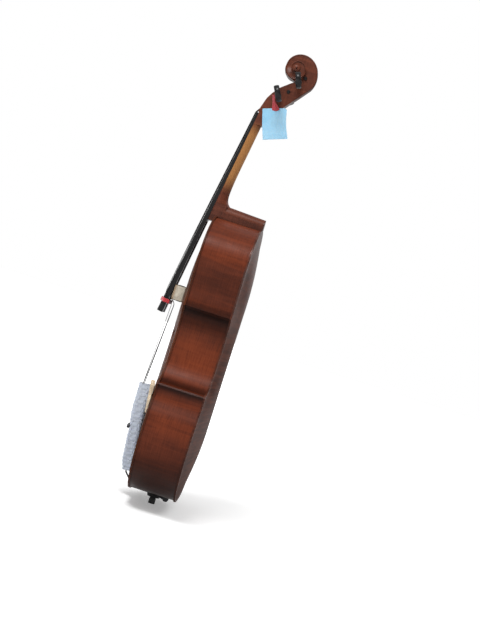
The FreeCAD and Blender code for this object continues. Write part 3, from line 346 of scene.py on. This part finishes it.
CAD_LOOKS = {
    BACK: ["back_plate"],
    SPRUCE: ["top_plate"],
    RIB: RIBS,
    NECK: ["neck"],
    INNER: ["top_linings", "back_linings", "corner_blocks", "upper_block", "lower_block", "bass_bar",
            "sound_post"],
    PURFLING: ["top_purfling", "back_purfling"],
    EBONY: ["fingerboard", "nut", "saddle", "endpin_collar"] + [f"peg_{s}" for s in STRINGS],
    STRING: [f"string_{s}" for s in STRINGS],
    TAIL_BLACK: ["tailpiece"],
    TUNER_STEEL: ["tuner_pin"] + [f"tuner_lever_{s}" for s in STRINGS],
    BLACK_METAL: ["endpin_screw"] + [f"tuner_screw_{s}" for s in STRINGS],
    CORD: ["tail_gut"],
    CHROME: ["endpin_rod"],
    RUBBER: ["endpin_tip"],
    BRIDGE: ["bridge"],
    FOAM: ["foam_block"],
    FILM: ["tail_wrap"],
    PAPER: ["paper_note"],
    ELASTIC: ["red_band"],
    RIBBON: ["red_tape"],
}
EDGE_RADIUS = {
    "back_plate": 0.0016, "top_plate": 0.0016, "fingerboard": 0.0009, "nut": 0.0006, "saddle": 0.0012,
    "neck": 0.0012, "endpin_collar": 0.0009, "endpin_tip": 0.0012, "endpin_screw": 0.0005, "bridge": 0.0005,
    "tailpiece": 0.0008,
    **{rib: 0.0003 for rib in RIBS},
    **{f"tuner_screw_{s}": 0.0006 for s in STRINGS},
}
SHARP = math.radians(38)
PEG_VOXEL = 0.0007
PEG_ROUNDS = 26

for look, names in CAD_LOOKS.items():
    for name in names:
        NODES[name].data.materials.clear()
        NODES[name].data.materials.append(look.material)
for name, radius in EDGE_RADIUS.items():
    bevel = NODES[name].modifiers.new("edges", "BEVEL")
    bevel.width = radius
    bevel.segments = 2
    bevel.limit_method = "ANGLE"
    bevel.angle_limit = SHARP
    bevel.harden_normals = False
for name in STRINGS:
    worn = NODES[f"peg_{name}"].modifiers.new("remesh", "REMESH")
    worn.mode, worn.voxel_size, worn.use_smooth_shade = "VOXEL", PEG_VOXEL, True
    rounded = NODES[f"peg_{name}"].modifiers.new("rounded", "SMOOTH")
    rounded.factor, rounded.iterations = 0.5, PEG_ROUNDS


# ---------------------------------------------------------------- meshes made in code
def ridden(mesh, look):
    """An object of a finished mesh that rides the cello, with the given look as its material."""
    mesh.materials.clear()
    mesh.materials.append(look.material)
    mesh.polygons.foreach_set("use_smooth", [True] * len(mesh.polygons))
    obj = bpy.data.objects.new(mesh.name, mesh)
    bpy.context.collection.objects.link(obj)
    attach(obj, "cello")
    return obj


def piece(name, points, faces, look):
    mesh = bpy.data.meshes.new(name)
    mesh.from_pydata([tuple(p) for p in points], [], faces)
    mesh.validate()
    return ridden(mesh, look)


def thickened(obj, thickness):
    skin = obj.modifiers.new("thickness", "SOLIDIFY")
    skin.thickness, skin.offset = thickness, 0


def grid_faces(rows, columns, around=False, along=False, start=0):
    """Quads over a grid of points laid row by row, closed round either way if asked."""
    faces = []
    for i in range(rows if along else rows - 1):
        for j in range(columns if around else columns - 1):
            a, b = i * columns, ((i + 1) % rows) * columns
            k = (j + 1) % columns
            faces.append((start + a + j, start + a + k, start + b + k, start + b + j))
    return faces


def ease(value, low, high):
    """0 below low to 1 above high, smoothly."""
    share = min(1.0, max(0.0, (value - low) / (high - low)))
    return share * share * (3 - 2 * share)


def leaned(origin, tilt, x, y, z):
    """A point given in a frame leaned about X."""
    return Vector((origin[0] + x, origin[1] + y * math.cos(tilt) - z * math.sin(tilt),
                   origin[2] + y * math.sin(tilt) + z * math.cos(tilt)))


def settle(node, voxel, rounds, name):
    """A new mesh of a CAD node's outside, remeshed evenly and relaxed."""
    copy = bpy.data.objects.new(name, NODES[node].data.copy())
    copy.matrix_world = NODES[node].matrix_world.copy()
    bpy.context.collection.objects.link(copy)
    remesh = copy.modifiers.new("remesh", "REMESH")
    remesh.mode, remesh.voxel_size = "VOXEL", voxel
    smooth = copy.modifiers.new("smooth", "SMOOTH")
    smooth.factor, smooth.iterations = 0.5, rounds
    bpy.context.view_layer.update()
    evaluated = copy.evaluated_get(bpy.context.evaluated_depsgraph_get())
    mesh = bpy.data.meshes.new_from_object(evaluated)
    mesh.transform(copy.matrix_world)
    bpy.data.objects.remove(copy)
    mesh.name = name
    return mesh


# ---------------------------------------------------------------- packing
TAIL_TOP = Vector((0, -0.117, 0.292))
TAIL_TILT = math.radians(4.5)
SLEEVE_AROUND, SLEEVE_ALONG = 188, 214          # mesh points
SLEEVE_TOP, SLEEVE_LOW = 0.0085, -0.2268
SLEEVE_WIDE, SLEEVE_NARROW = 0.0325, 0.0222     # half widths at the top and at the low end
SLEEVE_FRONT = -0.0103
SLEEVE_SQUARE = 0.42                            # power that squares the round section
SLEEVE_CROWN = 18                               # per metre, how the front curves across
SLEEVE_REACH = 0.235
# height and y of the sleeve's back, down the arch of the top, and its gap to them
SLEEVE_BACK = ((0.04, -0.0665), (0.092, -0.0744), (0.14, -0.0804), (0.175, -0.0835), (0.209, -0.085),
               (0.34, -0.085))
SLEEVE_GAP = 0.0012
FILM_THICK = 0.0026
KNOB_LEVEL = -0.111                             # the fine tuners' knobs pinch the film here
BUBBLES_AROUND = 18
BUBBLE_ROWS = 9.2                               # mesh rows from one row of bubbles to the next
BUBBLE_HEIGHT = 0.001


def sleeve_back(share):
    """Depth of the sleeve's back behind the tailpiece's crown, in the tailpiece's own frame."""
    z = -share * SLEEVE_REACH
    height = TAIL_TOP.z + z * math.cos(TAIL_TILT)
    y = float(np.interp(height, *zip(*SLEEVE_BACK)))
    return (y - TAIL_TOP.y + z * math.sin(TAIL_TILT)) / math.cos(TAIL_TILT)


def squared(value):
    return math.copysign(abs(value) ** SLEEVE_SQUARE, value)


def bubble(i, j):
    """Relief of the film's bubbles at a mesh point, each row half a bubble on from the last."""
    row = round(i / BUBBLE_ROWS)
    run = SLEEVE_AROUND / BUBBLES_AROUND
    u = (j + (0.5 * run if row % 2 else 0)) % run - run / 2
    v = i - row * BUBBLE_ROWS
    dome = max(0.0, 1 - (u / (0.43 * run)) ** 2 - (v / 4.0) ** 2)
    return BUBBLE_HEIGHT * (math.sqrt(dome) - 0.5)


def sleeve_shell(depth):
    """Points of the film's outside, or of its inside at a depth."""
    points = []
    for i in range(SLEEVE_ALONG):
        share = i / (SLEEVE_ALONG - 1)
        z = SLEEVE_TOP + (SLEEVE_LOW - SLEEVE_TOP) * share
        half = SLEEVE_WIDE + (SLEEVE_NARROW - SLEEVE_WIDE) * share - depth
        front = SLEEVE_FRONT + 0.0058 * ease(share, 0.87, 1.0) + depth
        back = sleeve_back(share) - SLEEVE_GAP - depth
        middle, deep = (front + back) / 2, (back - front) / 2
        swell = 0.0034 * math.sin(math.pi * min(1, share / 0.62)) ** 2
        pinch = 0.0016 * math.exp(-((z - KNOB_LEVEL) / 0.016) ** 2) + 0.0012 * ease(share, 0.62, 0.75)
        for j in range(SLEEVE_AROUND):
            angle = 2 * math.pi * j / SLEEVE_AROUND
            c, s = math.cos(angle), math.sin(angle)
            face = max(0.0, -s) ** 2
            x = half * squared(c)
            y = middle + deep * squared(s) + face * (pinch - swell + 0.5 * SLEEVE_CROWN * x * x)
            seed = Vector((x * 28, y * 28, z * 9))
            fold = 0.0009 * noise.noise(seed) + 0.0004 * noise.noise(seed * 3.1)
            if depth == 0.0:
                fold += bubble(i, j)
            ragged = 0.0035 * noise.noise(Vector((c * 1.7, s * 1.7, 4.0)))
            ragged -= 0.0022 * math.sin(angle * 2 + 0.6)
            edge = ragged * (1 - ease(share, 0.0, 0.2)) * (0.6 if i else 1)
            points.append(leaned(TAIL_TOP, TAIL_TILT, x + c * fold, y + s * fold, z + edge))
    return points


def sleeve():
    """Cushioned film round the tailpiece: domed bubbles in rows, soft folds, and a ragged mouth."""
    points = sleeve_shell(0.0) + sleeve_shell(FILM_THICK)
    count = SLEEVE_ALONG * SLEEVE_AROUND
    end = count - SLEEVE_AROUND
    faces = [f[::-1] for f in grid_faces(SLEEVE_ALONG, SLEEVE_AROUND, around=True)]
    faces += grid_faces(SLEEVE_ALONG, SLEEVE_AROUND, around=True, start=count)
    for j in range(SLEEVE_AROUND):
        k = (j + 1) % SLEEVE_AROUND
        faces.append((j, k, count + k, count + j))
        faces.append((end + k, end + j, count + end + j, count + end + k))
    wrap = piece("tail_sleeve", points, faces, FILM)
    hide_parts("tail_wrap")


def pad():
    """The foam pad, its sides squeezed out a little between the fingerboard and the top."""
    mesh = settle("foam_block", 0.0016, 5, "packing_pad")
    low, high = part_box("foam_block")
    middle = (Vector(low) + Vector(high)) / 2
    ends_in, sides_in = 0.0008, 0.0012
    for vertex in mesh.vertices:
        p = vertex.co
        depth = (p.y - middle.y) / (high[1] - low[1]) * 2
        squeeze = 0.0016 * (1 - min(1, abs(depth)) ** 2)
        dent = 0.0011 * noise.noise(p * 70) + 0.0005 * noise.noise(p * 260)
        p.z += math.copysign(1, p.z - middle.z) * (squeeze * 0.6 + dent - ends_in)
        p.x += math.copysign(1, p.x - middle.x) * (squeeze + dent - sides_in)
    obj = ridden(mesh, FOAM)
    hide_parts("foam_block")


NOTE_PLACE = (0.0194, -0.034, NUT_Z + 0.021)
NOTE_LEAN = math.radians(18)
NOTE_WIDTH, NOTE_LENGTH = 0.065, 0.082
NOTE_CREASES = ((0.76, 0.0007), (0.885, 0.0005))    # share of the width, and depth
EAR_WIDE, EAR_HIGH = 0.1, 0.055                     # shares of the sheet that the dog-ear takes
PAPER_THICK = 0.00018


def note():
    """A curled sheet, creased down its free side and dog-eared at its upper corner."""
    rows, columns = 60, 48
    points = []
    for i in range(rows):
        v = i / (rows - 1)
        for j in range(columns):
            u = j / (columns - 1)
            bow = -0.0022 * math.sin(math.pi * v)
            y = u * NOTE_WIDTH + bow * (0.5 + 0.9 * u) + 0.0008 * u * v
            z = -v * NOTE_LENGTH - 0.0012 * (1 - u) * v
            x = 0.0042 * ease(v, 0.35, 1.0) * (0.3 + 0.7 * u) + 0.0016 * math.sin(math.pi * v) * (1 - u)
            for crease, depth in NOTE_CREASES:
                x += depth * math.exp(-abs(u - crease - 0.012 * v) / 0.018)
            x += 0.0006 * noise.noise(Vector((u * 3, v * 4, 1.7)))
            x += 0.00025 * noise.noise(Vector((u * 11, v * 13, 5)))
            ear = (u - 1 + EAR_WIDE) / EAR_WIDE + (EAR_HIGH - v) / EAR_HIGH - 1
            if u > 1 - EAR_WIDE and v < EAR_HIGH and ear > 0:
                y -= ear * 0.0036
                z -= ear * 0.0024
                x += 0.0013 + 0.0004 * ear
            points.append(leaned(NOTE_PLACE, NOTE_LEAN, max(0.0, x), y, z))
    obj = piece("note_sheet", points, grid_faces(rows, columns), PAPER)
    thickened(obj, PAPER_THICK)
    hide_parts("paper_note")


RIBBON_THICK = 0.0003
RIBBON_TOP, RIBBON_DROP = 0.0355, 0.0415


def ribbon():
    """A narrow ribbon, gathered where it leaves the peg and spread where it holds the note."""
    rows, columns = 54, 26
    points, area = [], 0.0
    for i in range(rows):
        v = i / (rows - 1)
        spread = 0.0064 + 0.0135 * ease(v, 0.35, 1.0)
        middle = 0.0297 + 0.0052 * ease(v, 0.3, 1.0)
        gather = 1 - ease(v, 0.25, 0.9)
        for j in range(columns):
            u = j / (columns - 1) - 0.5
            x = 0.0012 + 0.00085 * math.sin(u * 13 + 1.5 * v) * (0.35 + 0.65 * gather)
            x += 0.0004 * noise.noise(Vector((u * 4, v * 5, 9)))
            z = RIBBON_TOP - v * RIBBON_DROP - 0.0016 * math.cos(u * 5) * v
            points.append(leaned(NOTE_PLACE, NOTE_LEAN, x, middle + u * spread, z))
    faces = grid_faces(rows, columns)
    for a, b, c, d in faces:
        area += ((points[b] - points[a]).cross(points[d] - points[a])).length / 2
        area += ((points[b] - points[c]).cross(points[d] - points[c])).length / 2
    obj = piece("ribbon", points, faces, RIBBON)
    thickened(obj, RIBBON_THICK)
    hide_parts("red_tape")


BOARD_TILT = math.radians(8.2)
BOARD_PLACE = Vector((0, -0.0825 + 0.287 * math.tan(BOARD_TILT), NUT_Z))
BAND_HALF, BAND_SIDE = 0.0364, 0.0153               # round the board's section and the strings on it
BAND_LIFT = 0.0057
BAND_ROUND = 0.060                                  # radius of its front
BAND_WIDTH = 0.0104
BAND_THICK_HALF = 0.00045
BAND_LEVEL = -0.5475
BAND_SECTION = ((0.5, 0.0), (0.4, 0.9), (0.0, 1.0), (-0.4, 0.9), (-0.5, 0.0), (-0.4, -0.9), (0.0, -1.0),
                (0.4, -0.9))


def elastic():
    """A flat elastic pulled round the fingerboard and the slack strings."""
    outline = []
    for k in range(25):
        x = -BAND_HALF + 2 * BAND_HALF * k / 24
        drop = math.sqrt(BAND_ROUND**2 - x**2) - math.sqrt(BAND_ROUND**2 - BAND_HALF**2)
        outline.append((x, BAND_LIFT - BAND_SIDE - drop))
    for k in range(1, 9):
        outline.append((BAND_HALF, BAND_LIFT - BAND_SIDE * (1 - k / 9)))
    for k in range(17):
        outline.append((BAND_HALF - 2 * BAND_HALF * k / 16, BAND_LIFT))
    for k in range(1, 9):
        outline.append((-BAND_HALF, BAND_LIFT - BAND_SIDE * k / 9))
    count = len(outline)
    points = []
    for k, (middle_x, middle_y) in enumerate(outline):
        before, after = outline[k - 1], outline[(k + 1) % count]
        tangent = Vector((after[0] - before[0], after[1] - before[1], 0)).normalized()
        normal = Vector((tangent.y, -tangent.x, 0)) * BAND_THICK_HALF
        wave = 0.0005 * math.sin(k * 0.7)
        for across, out in BAND_SECTION:
            z = BAND_LEVEL + across * BAND_WIDTH + wave
            points.append(leaned(BOARD_PLACE, -BOARD_TILT, middle_x + normal.x * out,
                                 middle_y + normal.y * out, z))
    faces = grid_faces(count, len(BAND_SECTION), around=True, along=True)
    obj = piece("elastic", points, faces, ELASTIC)
    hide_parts("red_band")


# ---------------------------------------------------------------- the scroll's carving
EYE = (0.0205, NUT_Z + 0.148)                       # y and z of the scroll's eye
EYE_RADIUS = 0.0081
SPIRAL_START, SPIRAL_END = -34, 640                 # degrees
# radius and distance from the middle plane, up the side of the eye's button
BUTTON = ((0.0088, 0.0235), (0.0088, 0.0292), (0.0083, 0.0305), (0.0072, 0.0313), (0.005, 0.0317),
          (0.0022, 0.0319))
BUTTON_POINTS = 40
PEGBOX_TOP = 0.11                                   # above the nut
CLEAR = 0.00012                                     # how far the carving stands off the CAD's cheek


def on_spiral(radius, angle):
    """y and z of a point seen from the scroll's eye, its angle in degrees."""
    turn = math.radians(angle)
    return EYE[0] + radius * math.cos(turn), EYE[1] + radius * math.sin(turn)


def spiral(angle):
    """Radius of the scroll's spiral at an angle in degrees, the neck's own rule."""
    if angle < 168:
        return 0.0295 + 0.0355 * (1 - (angle + 38) / 206) ** 1.2
    if angle < 243:
        return 0.0295
    return 0.0295 - 0.0215 * min((angle - 243) / 397, 1.0) ** 1.3


def cheek(z):
    """Half width of the pegbox's taper at a height."""
    up = z - NUT_Z
    return 0.015 - 0.002 * min(1, max(0, (up - PEGBOX_TOP) / 0.04))


def floor_level(angle, z):
    """Distance of a turn's channel from the middle plane."""
    if angle < 170:
        return cheek(z) + CLEAR
    if angle < 243:
        return cheek(z) + CLEAR + (0.01925 - cheek(z)) * ease(angle, 170, 243)
    if angle < 420:
        return 0.01935 + 0.005 * (angle - 243) / 177
    return 0.02435 + 0.0048 * min(1, (angle - 420) / 220)


def channel_row(side, angle):
    """One cut across a turn: its foot, the rounded rim, and the hollow down to the next turn in."""
    radius = spiral(angle) + 0.00025
    inner = EYE_RADIUS
    if angle + 360 < 700:
        inner = max(spiral(angle + 360), EYE_RADIUS)
    fade = ease(angle, SPIRAL_START, 20)
    rim = (0.0015 + 0.0012 * ease(angle, 150, 300)) * fade
    width = max(radius - inner, 0.001)
    edge = min(0.0032, width * 0.4)
    y, z = on_spiral(radius, angle)
    under = 0.0122
    if angle - 360 >= SPIRAL_START:
        under = floor_level(angle - 360, z) - 0.0004
    row = [Vector((side * min(under, floor_level(angle, z) - 0.0002), y, z))]
    cuts = [(radius, rim * 0.45 - 0.0002 * (1 - fade))]
    for share, height in ((0.18, 0.92), (0.42, 1.0), (0.72, 0.72), (1.0, 0.3)):
        cuts.append((radius - edge * share, rim * height))
    for share in (0.15, 0.35, 0.55, 0.75, 0.9):
        rise = rim * 0.3 * (1 - share) * 0.5 + 0.0001 + 0.0011 * fade * max(0, share - 0.5) ** 1.5
        cuts.append((radius - edge - (width - edge) * share, rise))
    cuts.append((inner - 0.0004, 0.0012 * fade))
    for r, level in cuts:
        y, z = on_spiral(r, angle)
        row.append(Vector((side * (floor_level(angle, z) + level), y, z)))
    return row


def carving():
    """The raised edge and hollow channel that wind to the eye on both sides."""
    points, faces = [], []
    for side in (1, -1):
        rows = [channel_row(side, angle) for angle in range(SPIRAL_START, SPIRAL_END + 1, 3)]
        new = grid_faces(len(rows), len(rows[0]), start=len(points))
        points += [p for row in rows for p in row]
        start = len(points)
        for radius, level in BUTTON:
            for k in range(BUTTON_POINTS):
                points.append(Vector((side * level, *on_spiral(radius, 360 * k / BUTTON_POINTS))))
        new += grid_faces(len(BUTTON), BUTTON_POINTS, around=True, start=start)
        new.append(tuple(range(len(points) - BUTTON_POINTS, len(points)))[::-1])
        faces += new if side < 0 else [f[::-1] for f in new]
    piece("scroll_carving", points, faces, NECK)


# places across the rim, as shares of its half width
FLUTE_SHARES = (0.05, 0.14, 0.3, 0.5, 0.7, 0.84, 0.93, 1)
FLUTE_LOW = Vector((0, 0.018, NUT_Z + 0.04))


def flutes():
    """Two hollows with a ridge between them, down the scroll's rim and the pegbox's back."""
    rim = [Vector((0, *on_spiral(spiral(angle), angle))) for angle in range(-38, 240, 4)]
    path = [FLUTE_LOW + (rim[0] - FLUTE_LOW) * k / 10 for k in range(10)] + rim
    last = len(path) - 1
    shares = [-share for share in FLUTE_SHARES[::-1]] + [0, *FLUTE_SHARES]
    points = []
    for k, place in enumerate(path):
        tangent = (path[min(last, k + 1)] - path[max(0, k - 1)]).normalized()
        normal = Vector((0, tangent.z, -tangent.y))
        fade = ease(k, 0, 6) * (1 - ease(k, last - 7, last))
        half = cheek(place.z)
        if place.z <= NUT_Z + PEGBOX_TOP:
            half = 0.015 + 0.002 * min(1, (NUT_Z + PEGBOX_TOP - place.z) / PEGBOX_TOP)
        for share in shares:
            ridge = 1 - 0.95 * math.sin(math.pi * min(1, abs(share) / 0.9)) ** 1.2
            if abs(share) > 0.9:
                ridge = 0.25
            lift = (0.00025 + 0.0013 * ridge) * fade - 0.0006 * (1 - fade)
            points.append(place + normal * lift + Vector((share * (half - 0.0003), 0, 0)))
    piece("scroll_flutes", points, grid_faces(len(path), len(shares)), NECK)


sleeve()
pad()
ribbon()
note()
elastic()
carving()
flutes()


# ---------------------------------------------------------------- stage, light and camera
ROOM_LIGHT = 0.16
CEILING_LIGHT = 0.8
FLOOR_GLOW = 0.3
# name, place, aim, size in metres and power in watts
LIGHTS = (("key", (1.5, -0.8, 3.2), (0, 0, 0.6), 1.3, 88),
          ("fill", (3.1, -0.6, 1.0), (0, 0, 0.6), 1.8, 9),
          ("back", (-1.6, 1.8, 2.4), (0, 0, 0.7), 1.4, 22))
CAMERA_PLACE = (3.437, 0.2523, 0.585)
CAMERA_YAW, CAMERA_PITCH, CAMERA_ROLL = math.radians(182.9), math.radians(-0.76), math.radians(17.65)
CAMERA_LENS, CAMERA_SENSOR = 48.375, 24


def area_light(name, place, aim, size, power):
    data = bpy.data.lights.new(name, "AREA")
    data.shape, data.size, data.energy = "DISK", size, power
    lamp = bpy.data.objects.new(name, data)
    bpy.context.collection.objects.link(lamp)
    lamp.location = place
    lamp.rotation_euler = (Vector(aim) - Vector(place)).to_track_quat("-Z", "Y").to_euler()


def make_floor():
    """A pale floor, brighter away from the cello so that its far end meets the white wall."""
    bpy.ops.mesh.primitive_plane_add(size=30, location=(0, 0, -0.0005))
    floor = bpy.context.object
    floor.name = "floor"
    look = Look("pale_floor", roughness=0.9)
    look.set("Base Color", look.mix(look.noise(look.stretched(), 3, 4), (0.8, 0.8, 0.8), (0.84, 0.84, 0.84)))
    look.set("Emission Color", (1.0, 1.0, 1.0))
    away = look.add("ShaderNodeVectorMath", {"operation": "LENGTH"}, Vector=look.place).outputs["Value"]
    glow = look.add("ShaderNodeMapRange", {"interpolation_type": "SMOOTHSTEP"}, Value=away, From_Min=0.7,
                    From_Max=3.0, To_Min=FLOOR_GLOW, To_Max=1.0).outputs["Result"]
    look.set("Emission Strength", glow)
    floor.data.materials.append(look.material)


def make_room():
    """A white wall on the cello's bass side and a dimmer room elsewhere, so the varnish stays deep."""
    world = bpy.data.worlds.new("studio")
    world.use_nodes = True
    tree = world.node_tree
    direction = tree.nodes.new("ShaderNodeSeparateXYZ")
    tree.links.new(tree.nodes.new("ShaderNodeTexCoord").outputs["Generated"], direction.inputs[0])

    def ranged(axis, low, high, start, end):
        node = tree.nodes.new("ShaderNodeMapRange")
        node.interpolation_type = "SMOOTHSTEP"
        tree.links.new(direction.outputs[axis], node.inputs["Value"])
        for key, number in (("From Min", low), ("From Max", high), ("To Min", start), ("To Max", end)):
            node.inputs[key].default_value = number
        return node.outputs["Result"]

    def joined(first, second, how):
        node = tree.nodes.new("ShaderNodeMath")
        node.operation = how
        tree.links.new(first, node.inputs[0])
        tree.links.new(second, node.inputs[1])
        return node.outputs[0]

    wall = ranged("X", -0.85, -0.7, 1.0, 0.0)
    wall = joined(wall, ranged("Y", -0.52, -0.36, 0.0, 1.0), "MULTIPLY")
    wall = joined(wall, ranged("Y", 0.25, 0.36, 1.0, 0.0), "MULTIPLY")
    ceiling = ranged("Z", 0.3, 0.95, ROOM_LIGHT, CEILING_LIGHT)
    background = tree.nodes["Background"]
    background.inputs[0].default_value = (1, 1, 1, 1)
    tree.links.new(joined(wall, ceiling, "MAXIMUM"), background.inputs[1])
    bpy.context.scene.world = world
    bpy.context.scene.view_settings.view_transform = "Standard"


def make_camera():
    """Stands on the treble side, a little behind, rolled so that the cello leans as on its stand."""
    reach = math.cos(CAMERA_PITCH)
    forward = Vector((reach * math.cos(CAMERA_YAW), reach * math.sin(CAMERA_YAW), math.sin(CAMERA_PITCH)))
    level = forward.cross(Vector((0, 0, 1))).normalized()
    up = level.cross(forward)
    right = math.cos(CAMERA_ROLL) * level + math.sin(CAMERA_ROLL) * up
    top = math.cos(CAMERA_ROLL) * up - math.sin(CAMERA_ROLL) * level
    data = bpy.data.cameras.new("camera")
    data.sensor_fit, data.sensor_height, data.sensor_width = "VERTICAL", CAMERA_SENSOR, CAMERA_SENSOR
    data.lens = CAMERA_LENS
    data.clip_end = 50
    camera = bpy.data.objects.new("camera", data)
    bpy.context.collection.objects.link(camera)
    turn = Matrix((right, top, -forward)).transposed().to_4x4()
    camera.matrix_world = Matrix.Translation(CAMERA_PLACE) @ turn
    bpy.context.scene.camera = camera


make_floor()
make_room()
for light in LIGHTS:
    area_light(*light)
make_camera()
